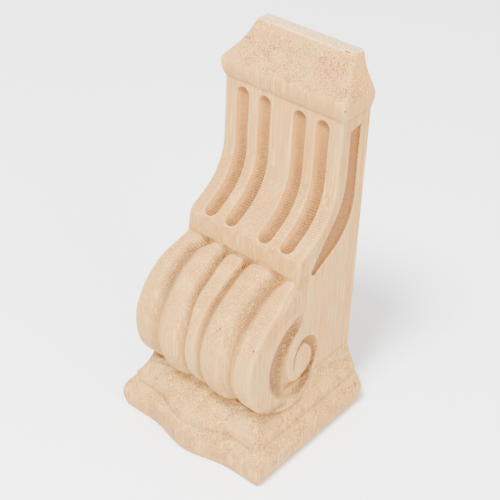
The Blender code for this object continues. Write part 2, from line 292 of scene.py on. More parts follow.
def bent_line(start, corner, end, radius, segments=36):
    """Points (y, z, heading) of a line from start to end whose corner is an arc."""
    first = (corner[0] - start[0], corner[1] - start[1])
    second = (end[0] - corner[0], end[1] - corner[1])
    heading = math.atan2(first[1], first[0])
    turn = math.atan2(second[1], second[0]) - heading
    turn = math.atan2(math.sin(turn), math.cos(turn))
    room = 0.98 * min(math.hypot(*first), math.hypot(*second))
    setback = min(radius * math.tan(abs(turn) / 2), room)
    bend = setback / math.tan(abs(turn) / 2)
    side = math.copysign(1.0, turn)
    arc_start = (corner[0] - setback * math.cos(heading), corner[1] - setback * math.sin(heading))
    centre_y = arc_start[0] - side * bend * math.sin(heading)
    centre_z = arc_start[1] + side * bend * math.cos(heading)
    points = [(start[0], start[1], heading)]
    for step in range(segments + 1):
        angle = heading + turn * step / segments
        y = centre_y + side * bend * math.sin(angle)
        z = centre_z - side * bend * math.cos(angle)
        points.append((y, z, angle))
    points.append((end[0], end[1], heading + turn))
    return points


def apron_line():
    front = neck_depth + apron_lean
    corner_rise = (ledge_depth - front) / math.tan(ledge_slope)
    corner = (-front, ledge_height + corner_rise)
    return bent_line((-neck_depth, neck_top), corner, (-ledge_depth, ledge_height), apron_radius)


def ledge_line():
    corner = (-ledge_depth, ledge_height)
    foot = (-ledge_depth - ledge_face_lean, ledge_height - ledge_face_height)
    return bent_line(apron_line()[-2][:2], corner, foot, ledge_round, 14)


def walk(points, start_gap, end_gap, count):
    """Evenly spaced (y, z, heading) along a line of points, between two gaps from its ends."""
    rows = np.array(points)
    steps = np.hypot(*np.diff(rows[:, :2], axis=0).T)
    lengths = np.concatenate([[0.0], np.cumsum(steps)])
    places = np.linspace(start_gap, lengths[-1] - end_gap, count)
    return list(zip(*(np.interp(places, lengths, rows[:, i]) for i in range(3))))


def add_shell(mesh, rings):
    """A closed shell through rings of equal count, with its two ends capped."""
    rows = [[mesh.verts.new([c * MM for c in point]) for point in ring] for ring in rings]
    count = len(rings[0])
    faces = []
    for lower, upper in zip(rows, rows[1:]):
        for i in range(count):
            j = (i + 1) % count
            faces.append(mesh.faces.new((lower[i], lower[j], upper[j], upper[i])))
    faces.append(mesh.faces.new(rows[0][::-1]))
    faces.append(mesh.faces.new(rows[-1]))
    bmesh.ops.recalc_face_normals(mesh, faces=faces)


def make_object(name, mesh):
    """An object in the scene made from a bmesh, which is freed."""
    data = bpy.data.meshes.new(name)
    mesh.to_mesh(data)
    mesh.free()
    made = bpy.data.objects.new(name, data)
    bpy.context.scene.collection.objects.link(made)
    return made


def applied(made):
    """Give an object its mesh with its modifiers applied."""
    depsgraph = bpy.context.evaluated_depsgraph_get()
    data = bpy.data.meshes.new_from_object(made.evaluated_get(depsgraph))
    made.modifiers.clear()
    made.data = data


def cut(target, tool):
    modifier = target.modifiers.new("cut", "BOOLEAN")
    modifier.operation = "DIFFERENCE"
    modifier.solver = "EXACT"
    modifier.object = tool
    applied(target)


def body():
    profile = [(0.0, base_height / 2), (0.0, neck_top + embed), (-neck_depth, neck_top + embed)]
    profile += [point[:2] for point in apron_line()[:-1] + ledge_line()[1:]]
    profile += [(-scroll_depth, scroll_height), (-scroll_depth, base_height / 2)]
    mesh = bmesh.new()
    add_shell(mesh, [[(x, y, z) for y, z in profile] for x in (-body_half, body_half)])
    soft = [edge for edge in mesh.edges if is_apron_edge(edge)]
    bmesh.ops.bevel(mesh, geom=soft, offset=edge_round * MM, segments=3, profile=0.5, affect="EDGES")
    return make_object("body", mesh)


def is_apron_edge(edge):
    """Whether an edge of the body runs along a side of the apron or of the ledge."""
    first, second = (vert.co / MM for vert in edge.verts)
    on_side = abs(first.x - second.x) < body_half
    in_front = max(first.y, second.y) <= -neck_depth + 0.01
    return on_side and in_front and min(first.z, second.z) > scroll_height + embed


def foot_projection(height):
    shares, projections = zip(*foot_steps)
    return float(np.interp(height / base_height, shares, projections, right=0.0))


def roll_outline(angle):
    """Radius of the roll seen from the side; 0 looks at the wall, half a turn to the front."""
    if angle > crown_start:
        return scroll_radius + (tail_radius - scroll_radius) * smoothstep(*tail_rise, angle)
    shift = crown_radius - scroll_radius
    centre_y = -shift * math.cos(crown_start)
    centre_z = -shift * math.sin(crown_start)
    along_ray = centre_y * math.cos(angle) + centre_z * math.sin(angle)
    across = centre_y ** 2 + centre_z ** 2 - along_ray ** 2
    crown = along_ray + math.sqrt(max(crown_radius ** 2 - across, 0.0))
    return crown + (tail_radius - crown) * smoothstep(*tail_angles, angle)


def roll_side(y, z):
    """Half width of the roll at a point of its side face."""
    face_foot = ledge_height - ledge_face_height
    low = smoothstep(face_foot, face_foot - proud_fade, z)
    proud = (scroll_proud + scroll_sink) * smoothstep(*proud_depths, -y) * low - scroll_sink
    near_foot = smoothstep(base_height + flare_fade, base_height - flare_fade, z)
    flare = foot_projection(z) + (flare_proud + scroll_sink) * near_foot - scroll_sink
    return body_half + max(proud, flare)


def bent_place(place, bends, angle):
    """Distance of a groove from the middle, with its bends, at an angle round the roll."""
    turn = np.degrees(angle)
    for shift, start, full in bends:
        place = place + shift * smoothstep(start, full, turn)
    return place


def groove_places(x, angle):
    """Distances from the middle of the inner and the outer groove on the side of x."""
    inner, outer = inner_groove[0], outer_groove[0]
    inner_here = np.where(x < 0, bent_place(inner, inner_left_bends, angle), inner)
    left, right = (bent_place(outer, bends, angle) for bends in (outer_left_bends, outer_right_bends))
    return inner_here, np.where(x < 0, left, right)


def groove_gaps(away, inner, outer):
    """Distances from the lines of the outer and the inner groove, as shares of their walls there."""
    for centre, near_wall, far_wall in ((outer, *outer_groove[1:3]), (inner, *inner_groove[1:3])):
        yield np.abs(away - centre) / np.where(away < centre, near_wall, far_wall)


def top_start(away, inner, outer):
    """Angle in degrees at which the top of a lobe or of the rib starts to fall."""
    span = np.where(away < inner, away / inner, (2 * away - inner - outer) / (outer - inner))
    return top_start_middle + (top_start_side - top_start_middle) * span ** 4


def relief(x, angle):
    """Height of the carved lobes, rib and grooves at a place across the front of the roll."""
    away = abs(x)
    height = 0.0
    strength = 1 - groove_fade * smoothstep(*fade_angles, angle)
    soft = smoothstep(*soft_angles, angle)
    inner, outer = (float(place) for place in groove_places(x, angle))
    for gap, depth in zip(groove_gaps(away, inner, outer), (outer_groove[3], inner_groove[3])):
        if gap < 1:
            sharp_wall = (1 - gap) ** groove_wall_power
            soft_wall = math.cos(math.pi / 2 * gap) ** 2
            height -= strength * depth * (sharp_wall + (soft_wall - sharp_wall) * soft)
    if inner < away < outer:
        height += lobe_crown * math.sin(math.pi * (away - inner) / (outer - inner))
    if away < inner:
        height += rib_crown * math.cos(math.pi / 2 * away / inner)
    if away < outer:
        start = top_start(away, inner, outer)
        fall = top_fall * smoothstep(start, start - top_length, math.degrees(angle))
        height -= fall * (1 - smoothstep(outer - top_margin, outer, away))
    return height


def on_ray(depth, height, reach, angle):
    """The point (y, z) at a reach and an angle from a centre with the given depth and height."""
    return -depth + reach * math.cos(angle), height + reach * math.sin(angle)


def roll_columns_across():
    """Columns (side, distance from the middle, or else None and the distance from the side face)."""
    turns = [math.pi / 2 * step / round_steps for step in range(round_steps + 1)]
    rounds = [scroll_round * (1 - math.cos(turn)) for turn in turns]
    columns = [(roll_column * step, None) for step in range(roll_columns)]
    columns += [(None, edge) for edge in rounds[::-1]]
    return [(-1, *column) for column in columns[:0:-1]] + [(1, *column) for column in columns]


def scroll_roll():
    mesh = bmesh.new()
    angles = [math.tau * turn / roll_turns for turn in range(roll_turns)]
    columns = roll_columns_across()
    rows = []
    for angle in angles:
        radius = roll_outline(angle)
        side = roll_side(*on_ray(scroll_depth, scroll_height, radius, angle))
        row = []
        for sign, middle, edge in columns:
            x = middle if edge is None else side - edge
            drop = 0.0
            if edge is not None and edge < scroll_round:
                drop = scroll_round - math.sqrt(scroll_round ** 2 - (scroll_round - edge) ** 2)
            y, z = on_ray(scroll_depth, scroll_height, radius + relief(sign * x, angle) - drop, angle)
            row.append(mesh.verts.new((sign * x * MM, y * MM, z * MM)))
        rows.append(row)
    for row, following in zip(rows, rows[1:] + rows[:1]):
        for i in range(len(row) - 1):
            mesh.faces.new((row[i], following[i], following[i + 1], row[i + 1]))
    for sign, index in ((-1, 0), (1, -1)):
        outer = [row[index] for row in rows]
        for share in np.linspace(*side_ring_shares, side_rings):
            inner = []
            for angle in angles:
                reach = share * (roll_outline(angle) - scroll_round)
                y, z = on_ray(scroll_depth, scroll_height, reach, angle)
                inner.append(mesh.verts.new((sign * roll_side(y, z) * MM, y * MM, z * MM)))
            for turn in range(roll_turns):
                after = (turn + 1) % roll_turns
                mesh.faces.new((outer[turn], inner[turn], inner[after], outer[after]))
            outer = inner
        mesh.faces.new(outer)
    bmesh.ops.recalc_face_normals(mesh, faces=mesh.faces)
    return make_object("roll", mesh)


def finer(steps):
    """A row of steps with eased steps between them."""
    parts = 4
    rows = np.array(steps)
    result = []
    for i in range(len(rows) - 1):
        before = rows[max(i - 1, 0)]
        after = rows[min(i + 2, len(rows) - 1)]
        for k in range(parts):
            t = k / parts
            start, end = rows[i], rows[i + 1]
            slope_in, slope_out = (end - before) / 2, (after - start) / 2
            eased = (2 * t ** 3 - 3 * t ** 2 + 1) * start + (t ** 3 - 2 * t ** 2 + t) * slope_in
            eased = eased + (3 * t ** 2 - 2 * t ** 3) * end + (t ** 3 - t ** 2) * slope_out
            linear = start + (end - start) * t
            result.append(np.concatenate([linear[:1], (eased + linear)[1:] / 2]))
    result.append(rows[-1])
    return result


def mould_ring(half_width, depth, height, wave=0.0, corner=corner_round):
    """One level of a moulding: flat back on the wall, round front corners, waved front."""
    rear = [(half_width, 0.0, height), (half_width, -(depth - corner) / 2, height)]
    turned = []
    for step in range(corner_steps + 1):
        angle = -math.pi / 2 * step / corner_steps
        x = half_width - corner * (1 - math.cos(angle))
        turned.append((x, -depth + corner * (1 + math.sin(angle)), height))
    front = []
    inner = half_width - corner
    for step in range(1, front_steps):
        x = inner * (1 - 2 * step / front_steps)
        swell = 0.0
        if abs(x) < wave_half_width:
            swell = wave * math.cos(math.pi / 2 * x / wave_half_width) ** 2
        front.append((x, -depth - swell, height))
    return rear + turned + front + [(-x, y, z) for x, y, z in (rear + turned)[::-1]]


def foot():
    rings = []
    for share, projection in finer(foot_steps):
        rise = wave_low + (wave_high - wave_low) * min(share / wave_top_share, 1.0)
        wave = rise * (1 - smoothstep(wave_top_share, 1.0, share))
        height = base_height * share
        rings.append(mould_ring(body_half + projection, foot_depth + projection, height, wave))
    rings.append(mould_ring(body_half - embed, foot_depth - embed, base_height + embed / 2))
    mesh = bmesh.new()
    add_shell(mesh, rings)
    return make_object("foot", mesh)


def cap():
    rings = [mould_ring(body_half - embed, neck_depth - embed, neck_top - embed / 2)]
    for share, beyond_side, beyond_neck in finer(cap_steps):
        height = neck_top + cap_height * share
        corner = corner_round + (cap_top_round - corner_round) * smoothstep(cap_round_start, 1.0, share)
        rings.append(mould_ring(body_half + beyond_side, neck_depth + beyond_neck, height, corner=corner))
    mesh = bmesh.new()
    add_shell(mesh, rings)
    return make_object("cap", mesh)


def add_flute(mesh, place):
    sides = 28
    lift = flute_radius - flute_depth
    path = walk(apron_line(), flute_top_gap + flute_radius, flute_foot_gap + flute_radius, 60)
    end_angles = [math.radians(a) for a in (78, 62, 46, 30, 15)]
    stations = [(path[0], -angle) for angle in end_angles]
    stations += [(station, 0.0) for station in path]
    stations += [(path[-1], angle) for angle in end_angles[::-1]]
    rings = []
    for (y, z, heading), angle in stations:
        ahead = flute_radius * math.sin(angle)
        radius = flute_radius * math.cos(angle)
        centre_y = y + math.sin(heading) * lift + math.cos(heading) * ahead
        centre_z = z - math.cos(heading) * lift + math.sin(heading) * ahead
        ring = []
        for side in range(sides):
            around = math.tau * side / sides
            out = radius * math.cos(around)
            y, z = centre_y + math.sin(heading) * out, centre_z - math.cos(heading) * out
            ring.append((place + radius * math.sin(around), y, z))
        rings.append(ring)
    add_shell(mesh, rings)


def strip_outline():
    """Outline (y, z) of the sunk crescent in the side."""
    front_top = (-strip_front, strip_top)
    rear_top = (-strip_rear, strip_top + strip_slant)
    front = bent_line(front_top, strip_front_corner, strip_front_tip, strip_front_radius)
    rear = bent_line(rear_top, strip_rear_corner, strip_rear_tip, strip_rear_radius)
    return [point[:2] for point in front + [strip_middle_tip] + rear[::-1]]


def add_strip(mesh, sign):
    near, far = body_half - strip_depth, body_half + embed
    add_shell(mesh, [[(sign * x, y, z) for y, z in strip_outline()] for x in (near, far)])


def volute_at(angle):
    """Outer edge, inner edge and depth of the volute groove at angles in degrees."""
    angles, outer, inner, depth = zip(*volute_turns)
    return (np.interp(angle, angles, row) for row in (outer, inner, depth))


def add_volute(mesh, sign):
    stations = 150
    across = 16
    rings = []
    for turn in np.linspace(volute_turns[0][0], volute_turns[-1][0], stations):
        outer, inner, depth = volute_at(turn)
        angle = math.radians(turn)
        ring = []
        for share in (step / across for step in range(across + 1)):
            y, z = on_ray(eye_depth, eye_height, outer + (inner - outer) * share, angle)
            sunk = depth * max(math.sin(math.pi * share ** volute_lean), 0.0) ** volute_floor_power
            ring.append((sign * (max(roll_side(y, z), body_half) - sunk), y, z))
        for reach in (inner, outer):
            y, z = on_ray(eye_depth, eye_height, reach, angle)
            ring.append((sign * (max(roll_side(y, z), body_half) + embed), y, z))
        rings.append(ring)
    add_shell(mesh, rings)


def lattice_noise(points, size, seed):
    """Smooth noise from -1 to 1 at rows of points, with features of the given size."""
    places = points / np.asarray(size, float)
    base = np.floor(places).astype(np.int64)
    share = places - base
    share = share * share * (3 - 2 * share)
    total = np.zeros(len(points))
    for corner in range(8):
        offset = np.array([corner & 1, corner >> 1 & 1, corner >> 2 & 1])
        cell = base + offset
        along_x, along_y, along_z = (cell * np.array(lattice_primes)).T
        mixed = along_x ^ along_y ^ along_z ^ seed * seed_prime
        mixed = (mixed ^ mixed >> 13) * spread_prime & 0x7FFFFFFF
        value = (mixed ^ mixed >> 16) % 65536 / 32767.5 - 1
        weight = np.prod(np.where(offset == 1, share, 1 - share), axis=1)
        total += weight * value
    return total


def line_gap(points, line):
    """Distance of each (y, z) from a line of points and its place along that line."""
    line = np.array([p[:2] for p in line])
    best = np.full(len(points), np.inf)
    place = np.zeros(len(points))
    travelled = 0.0
    for start, end in zip(line, line[1:]):
        run = end - start
        length = math.hypot(*run)
        share = np.clip((points - start) @ run / length ** 2, 0, 1)
        gap = points - start - share[:, None] * run
        distance = np.hypot(gap[:, 0], gap[:, 1])
        nearer = distance < best
        best[nearer] = distance[nearer]
        place[nearer] = (travelled + share * length)[nearer]
        travelled += length
    return best, place


def outline_table():
    """Angles round the roll and its radius at each."""
    angles = np.linspace(0.0, math.tau, 361)
    return angles, [roll_outline(angle) for angle in angles]


def flute_share(x, z, gap, place):
    """Share from 0 to 1 by which each point lies in a flute, from its gap to and place on the apron."""
    foot_place = place.max() - flute_foot_gap
    on_apron = smoothstep(foot_place, foot_place - flute_foot_fade, place) * (z < neck_top)
    flute = np.zeros(len(x))
    for middle in flute_places:
        near = smoothstep(flute_radius + flute_edge, flute_radius - flute_edge, np.abs(x - middle))
        flute = np.maximum(flute, near * smoothstep(0.15, 0.9, gap))
    return flute * on_apron * (np.abs(x) < body_half - 1.5) * (gap < flute_depth + 0.6)


def strip_share(x, y, z):
    """Share from 0 to 1 by which each point lies on the sunk ground of a crescent."""
    outline = strip_outline()
    inside = np.zeros(len(x), bool)
    for (y0, z0), (y1, z1) in zip(outline, outline[1:] + outline[:1]):
        crosses = (z0 > z) != (z1 > z)
        slope = (y1 - y0) / (z1 - z0) if z1 != z0 else 0.0
        inside ^= crosses & (y < y0 + slope * (z - z0))
    sunk = body_half - np.abs(x)
    return smoothstep(0.10, 0.5, sunk) * inside * (sunk < 2)


def volute_shares(x, y, z):
    """Shares from 0 to 1 by which each point lies in a volute groove, and on its dark ground."""
    turn = np.degrees(np.arctan2(z - eye_height, y + eye_depth)) % 360
    reach = np.hypot(z - eye_height, y + eye_depth)
    tone_angles, tones, covers = zip(*volute_tones)
    volute = np.zeros(len(x))
    volute_dark = np.zeros(len(x))
    for lap in (turn, turn + 360):
        outer, inner, depth = volute_at(lap)
        share = (outer - reach) / (outer - inner)
        inside = (share > 0) & (share < 1) & (lap > volute_turns[0][0]) & (lap < volute_turns[-1][0])
        amount = smoothstep(0.0, 0.2, share) * smoothstep(1.0, 0.9, share) * smoothstep(0.2, 1.2, depth)
        cover = np.interp(lap, tone_angles, covers)
        dark = amount * np.interp(lap, tone_angles, tones) * smoothstep(cover + 0.15, cover - 0.15, share)
        volute = np.where(inside, amount, volute)
        volute_dark = np.where(inside, dark, volute_dark)
    on_side = np.abs(x) > side_start
    return volute * on_side, volute_dark * on_side


def groove_and_top_shade_share(x, angle, front):
    """Share from 0 to 1 by which each point lies in a groove of the roll, or in the painted shade on a
    fallen top above it.
    """
    away = np.abs(x)
    inner, outer = groove_places(x, angle)
    groove = smoothstep(0.9, 0.2, np.minimum(*groove_gaps(away, inner, outer)))
    groove *= 1 - 0.8 * smoothstep(*groove_tone_fade, np.degrees(angle))
    # Painted shade in the crease where the top of a lobe or of the rib falls against the ledge
    start = top_start(away, inner, outer)
    top = smoothstep(start + 1.0, start - 2.5, np.degrees(angle))
    top *= smoothstep(outer + 3.0, outer - 1.0, away)
    return np.maximum(groove, 0.7 * top) * front


def between(limits, angle):
    """Whether each angle lies between two limits in degrees."""
    return (angle > math.radians(limits[0])) & (angle < math.radians(limits[1]))


def under_roll_shade_share(x, z, angle, reach):
    """Share from 0 to 1 of the painted shade under the roll, where it meets the foot."""
    edge_reach = np.interp(angle, *outline_table())
    near = smoothstep(7.0, 0.5, np.abs(reach - edge_reach))
    near *= smoothstep(base_height + 3.0, base_height, z)
    return near * between(under_roll_shade_angles, angle) * (np.abs(x) < body_half + 2.5)


def zones(points):
    """What the tool marks and the finish read of each point: shares from 0 to 1, some of them for painted
    shade, and three measures.
    """
    x, y, z = points.T
    gap, place = line_gap(points[:, 1:], apron_line())
    angle = np.arctan2(z - scroll_height, y + scroll_depth) % math.tau
    reach = np.hypot(z - scroll_height, y + scroll_depth)
    face_foot = ledge_height - ledge_face_height
    front = between(front_angles, angle) & (reach > front_reach) & (z < face_foot + 3)
    front &= (z < face_foot) | (y < -ledge_depth - ledge_face_lean - 0.5)
    volute, volute_dark = volute_shares(x, y, z)
    hatch_run = np.where(front, np.degrees(angle) * arc_per_degree, place) + hatch_slant * x
    return {
        "flute": flute_share(x, z, gap, place),
        "strip": strip_share(x, y, z),
        "volute": volute,
        "volute_dark": volute_dark,
        "groove": groove_and_top_shade_share(x, angle, front),
        "under_roll_shade": under_roll_shade_share(x, z, angle, reach),
        "front": front,
        "angle": angle,
        "from_eye": np.hypot(y + eye_depth - eye_shift, z - eye_height + eye_shift),
        "hatch_run": hatch_run + hatch_sway * lattice_noise(points, 9.0, 5),
    }


def read_mesh(data):
    """Points of a mesh in millimetres and its normals, a row for each vertex."""
    points = np.empty(len(data.vertices) * 3)
    normals = np.empty(len(data.vertices) * 3)
    data.vertices.foreach_get("co", points)
    data.vertex_normals.foreach_get("vector", normals)
    return points.reshape(-1, 3) / MM, normals.reshape(-1, 3)


def write_values(data, name, values):
    """Store a value for each vertex under a name that the finish reads."""
    attribute = data.attributes.new(name, "FLOAT", "POINT")
    attribute.data.foreach_set("value", values.astype(np.float32))


def carve_marks(data):
    """Tool marks, rough grounds and gentle unevenness pressed into the fine mesh."""
    points, normals = read_mesh(data)
    x, y, z = points.T
    zone = zones(points)
    rough = 0.6 * lattice_noise(points, 0.9, 3) + 0.6 * lattice_noise(points, 1.7, 4)
    ground = 0.9 * zone["strip"] + 1.1 * zone["volute_dark"] + 0.6 * zone["flute"] + 0.7 * zone["groove"]
    push = rough_depth * rough * np.clip(ground, 0, 1.3)
    hatched = zone["front"] * smoothstep(*hatch_press_fade, np.degrees(zone["angle"]))
    push += hatch_depth * np.sin(math.tau * zone["hatch_run"] / hatch_pitch) * hatched
    ripples = np.sin(math.tau * (z + ripple_sway * lattice_noise(points, 4.0, 6)) / ripple_pitch)
    push += ripple_depth * ripples * zone["flute"]
    on_side = (np.abs(normals[:, 0]) > 0.8) & (np.abs(x) > side_start)
    push += eye_dome * smoothstep(eye_radius, eye_radius * 0.3, zone["from_eye"]) * on_side
    for height, size, seed in slow_waves:
        push += height * lattice_noise(points, size, seed)
    on_flat = (y > -flat_margin) | (z < flat_margin) | (z > overall_height - flat_margin)
    push[on_flat] *= flat_share
    data.vertices.foreach_set("co", ((points + normals * push[:, None]) * MM).ravel())
    data.update()


def mark_edges(data):
    """Per-vertex height over its smoothed surroundings: positive on edges, negative in hollows."""
    points, normals = read_mesh(data)
    count = len(points)
    ends = np.empty(len(data.edges) * 2, dtype=np.int32)
    data.edges.foreach_get("vertices", ends)
    one, other = ends[0::2], ends[1::2]
    degree = np.bincount(one, minlength=count) + np.bincount(other, minlength=count)
    for name, passes in (("edge_fine", 6), ("edge_broad", 60)):
        smooth = points.copy()
        for _ in range(passes):
            for axis in range(3):
                total = np.bincount(one, smooth[other, axis], count)
                total += np.bincount(other, smooth[one, axis], count)
                smooth[:, axis] = total / degree
        write_values(data, name, ((points - smooth) * normals).sum(axis=1))


def mark_zones(data):
    """Per-vertex shares that the wood's finish reads, painted shade among them."""
    points = read_mesh(data)[0] - np.array([0.0, back_y, 0.0])
    x, y, z = points.T
    zone = zones(points)
    # Painted shade on the flutes' right walls, stronger towards their lower ends, laid with their stippled
    # rough ground
    middles = np.array(flute_places)
    from_middle = x - middles[np.abs(x[:, None] - middles).argmin(axis=1)]
    flute_shade_and_grit = zone["flute"] * smoothstep(-2.6, -0.9, from_middle)
    flute_shade_and_grit *= 0.45 + 0.55 * smoothstep(ledge_height + 36, ledge_height + 10, z)
    # The hatch shows on the top and front of the roll and on the lower apron
    on_roll = zone["front"] * smoothstep(*hatch_tone_fade, np.degrees(zone["angle"]))
    on_apron = smoothstep(ledge_height + 34, ledge_height + 14, z)
    on_apron *= (z > ledge_height - 2) & (y < -neck_depth - 1)
    # Painted shade on the upright face of the ledge, apart from its two ends
    face = smoothstep(1.2, 0.3, np.abs(y + ledge_depth + ledge_face_lean / 2))
    face *= smoothstep(ledge_height + 0.5, ledge_height - 1.5, z)
    face *= (z > ledge_height - ledge_face_height - 1) & (np.abs(x) < body_half - 0.5)
    for name in ("flute", "strip", "volute", "volute_dark", "groove", "under_roll_shade", "hatch_run"):
        write_values(data, name, zone[name])
    write_values(data, "flute_shade_and_grit", flute_shade_and_grit)
    write_values(data, "machined", np.maximum(on_roll, on_apron))
    write_values(data, "ledge_shade", face)
    write_values(data, "eye", smoothstep(eye_radius + 1.5, eye_radius - 1.0, zone["from_eye"]))


def keep_in_box(data):
    """Hold the worn surface inside the part's own box."""
    points = np.empty(len(data.vertices) * 3)
    data.vertices.foreach_get("co", points)
    points = np.clip(points.reshape(-1, 3), cad_box[0], cad_box[1])
    data.vertices.foreach_set("co", points.ravel())
    data.update()


def cutters(name, with_body_cuts):
    """The forms that are cut away: the volutes, and for the body the flutes and crescents too."""
    mesh = bmesh.new()
    if with_body_cuts:
        for place in flute_places:
            add_flute(mesh, place)
    for sign in (-1, 1):
        if with_body_cuts:
            add_strip(mesh, sign)
        add_volute(mesh, sign)
    return make_object(name, mesh)


def carved_corbel():
    core, roll = body(), scroll_roll()
    body_tool, roll_tool = cutters("cutters", True), cutters("roll_cutters", False)
    cut(core, body_tool)
    cut(roll, roll_tool)
    parts = [core, roll, foot(), cap()]
    mesh = bmesh.new()
    for part in parts:
        mesh.from_mesh(part.data)
    piece = make_object("corbel_fine", mesh)
    for part in parts + [body_tool, roll_tool]:
        bpy.data.objects.remove(part, do_unlink=True)
    remesh = piece.modifiers.new("even", "REMESH")
    remesh.mode = "VOXEL"
    remesh.voxel_size = voxel * MM
    soften = piece.modifiers.new("soften", "SMOOTH")
    soften.factor = 0.5
    soften.iterations = soft_passes
    applied(piece)
    mark_edges(piece.data)
    carve_marks(piece.data)
    thin = piece.modifiers.new("thin", "DECIMATE")
    thin.ratio = min(1.0, most_triangles / (2 * len(piece.data.polygons)))
    applied(piece)
    piece.data.transform(Matrix.Translation((0.0, back_y * MM, 0.0)))
    keep_in_box(piece.data)
    mark_zones(piece.data)
    piece.data.shade_smooth()
    return piece


class Nodes:
    """Short calls for building a material's node tree."""

    def __init__(self, name):
        self.material = bpy.data.materials.new(name)
        self.material.use_nodes = True
        self.tree = self.material.node_tree
        self.shader = self.tree.nodes["Principled BSDF"]

    def add(self, kind, **values):
        node = self.tree.nodes.new(kind)
        for key, value in values.items():
            setattr(node, key, value)
        return node

    def put(self, value, socket):
        if hasattr(value, "is_output"):
            self.tree.links.new(value, socket)
        elif value is not None:
            socket.default_value = value

    def math(self, operation, a, b=None, c=None, clamp=False):
        node = self.add("ShaderNodeMath", operation=operation, use_clamp=clamp)
        for value, socket in zip((a, b, c), node.inputs):
            self.put(value, socket)
        return node.outputs[0]

    def times(self, *values):
        """The product of two or more values."""
        total = values[0]
        for value in values[1:]:
            total = self.math("MULTIPLY", total, value)
        return total

    def parts(self, vector):
        """The X, Y and Z outputs of a vector."""
        node = self.add("ShaderNodeSeparateXYZ")
        self.put(vector, node.inputs[0])
        return node.outputs

    def coords(self, sizes, shift):
        """Coordinates that run by one over each of the given sizes in millimetres."""
        node = self.add("ShaderNodeMapping")
        node.inputs["Scale"].default_value = [1 / (size * MM) for size in sizes]
        node.inputs["Location"].default_value = shift
        self.put(self.place, node.inputs["Vector"])
        return node.outputs[0]

    def noise(self, sizes, detail=2.0, shift=(0, 0, 0), distortion=0.0):
        """Noise with features of the given sizes along x, y and z."""
        node = self.add("ShaderNodeTexNoise")
        node.inputs["Scale"].default_value = 1.0
        node.inputs["Detail"].default_value = detail
        node.inputs["Distortion"].default_value = distortion
        self.put(self.coords(sizes, shift), node.inputs["Vector"])
        return node.outputs["Fac"]

    def dots(self, sizes, shift, radius):
        """Scattered dots, deepest in their middles, with a radius as a share of their spacing."""
        node = self.add("ShaderNodeTexVoronoi")
        node.inputs["Scale"].default_value = 1.0
        self.put(self.coords(sizes, shift), node.inputs["Vector"])
        near = self.math("DIVIDE", node.outputs["Distance"], radius)
        return self.math("SUBTRACT", 1.0, near, clamp=True)

    def step(self, value, low, high, to_low=0.0, to_high=1.0):
        node = self.add("ShaderNodeMapRange", interpolation_type="SMOOTHSTEP")
        node.inputs["From Min"].default_value = low
        node.inputs["From Max"].default_value = high
        node.inputs["To Min"].default_value = to_low
        node.inputs["To Max"].default_value = to_high
        self.put(value, node.inputs["Value"])
        return node.outputs[0]

    def mix(self, share, a, b):
        node = self.add("ShaderNodeMix", data_type="RGBA")
        self.put(share, node.inputs[0])
        for value, socket in ((a, node.inputs[6]), (b, node.inputs[7])):
            self.put(value if hasattr(value, "is_output") else (*value, 1.0), socket)
        return node.outputs[2]

    def lay(self, tone, *shares):
        """Lay a tone over the color so far, by the product of the given shares."""
        self.color = self.mix(self.times(*shares), self.color, tone)

    def attribute(self, name):
        return self.add("ShaderNodeAttribute", attribute_name=name).outputs["Fac"]


def seated_marks(data):
    """The small marks, each with its place moved onto the nearest point of the surface, in metres."""
    tree = BVHTree.FromPolygons([v.co for v in data.vertices], [p.vertices[:] for p in data.polygons])
    marks = []
    for (x, y, z), radius, depth in small_marks:
        marks.append((tree.find_nearest(Vector((x, y + back_y, z)) * MM)[0], radius, depth))
    return marks


def lay_lines(n):
    """The glue line across the sides, the board behind it, and the seam above the foot."""
    glue_y = (back_y - glue_place) * MM
    board = n.step(n.at["Y"], glue_y - 0.03 * MM, glue_y + 0.03 * MM)
    n.lay(pink, board, 0.20)
    lean = n.times(n.math("SUBTRACT", glue_bend * MM, n.at["Z"]), glue_lean)
    from_glue = n.math("SUBTRACT", n.at["Y"], glue_y)
    off_line = n.math("ABSOLUTE", n.math("ADD", from_glue, n.math("MAXIMUM", lean, 0.0)))
    glue = n.step(off_line, line_core * MM, line_edge * MM, 1.0, 0.0)
    n.lay(brown_and_shade, glue, n.step(n.at["Z"], 0.017, 0.014, 0.12, 0.60))
    off_seam = n.math("ABSOLUTE", n.math("SUBTRACT", n.at["Z"], (base_height + seam_rise) * MM))
    seam = n.step(off_seam, line_core * MM, line_edge * MM, 1.0, 0.0)
    on_side = n.step(n.math("ABSOLUTE", n.at["X"]), (body_half - 1.0) * MM, (body_half - 0.6) * MM)
    n.lay(brown_and_shade, seam, on_side, n.step(from_glue, 0.001, 0.004, 0.0, 0.55), n.off_back)


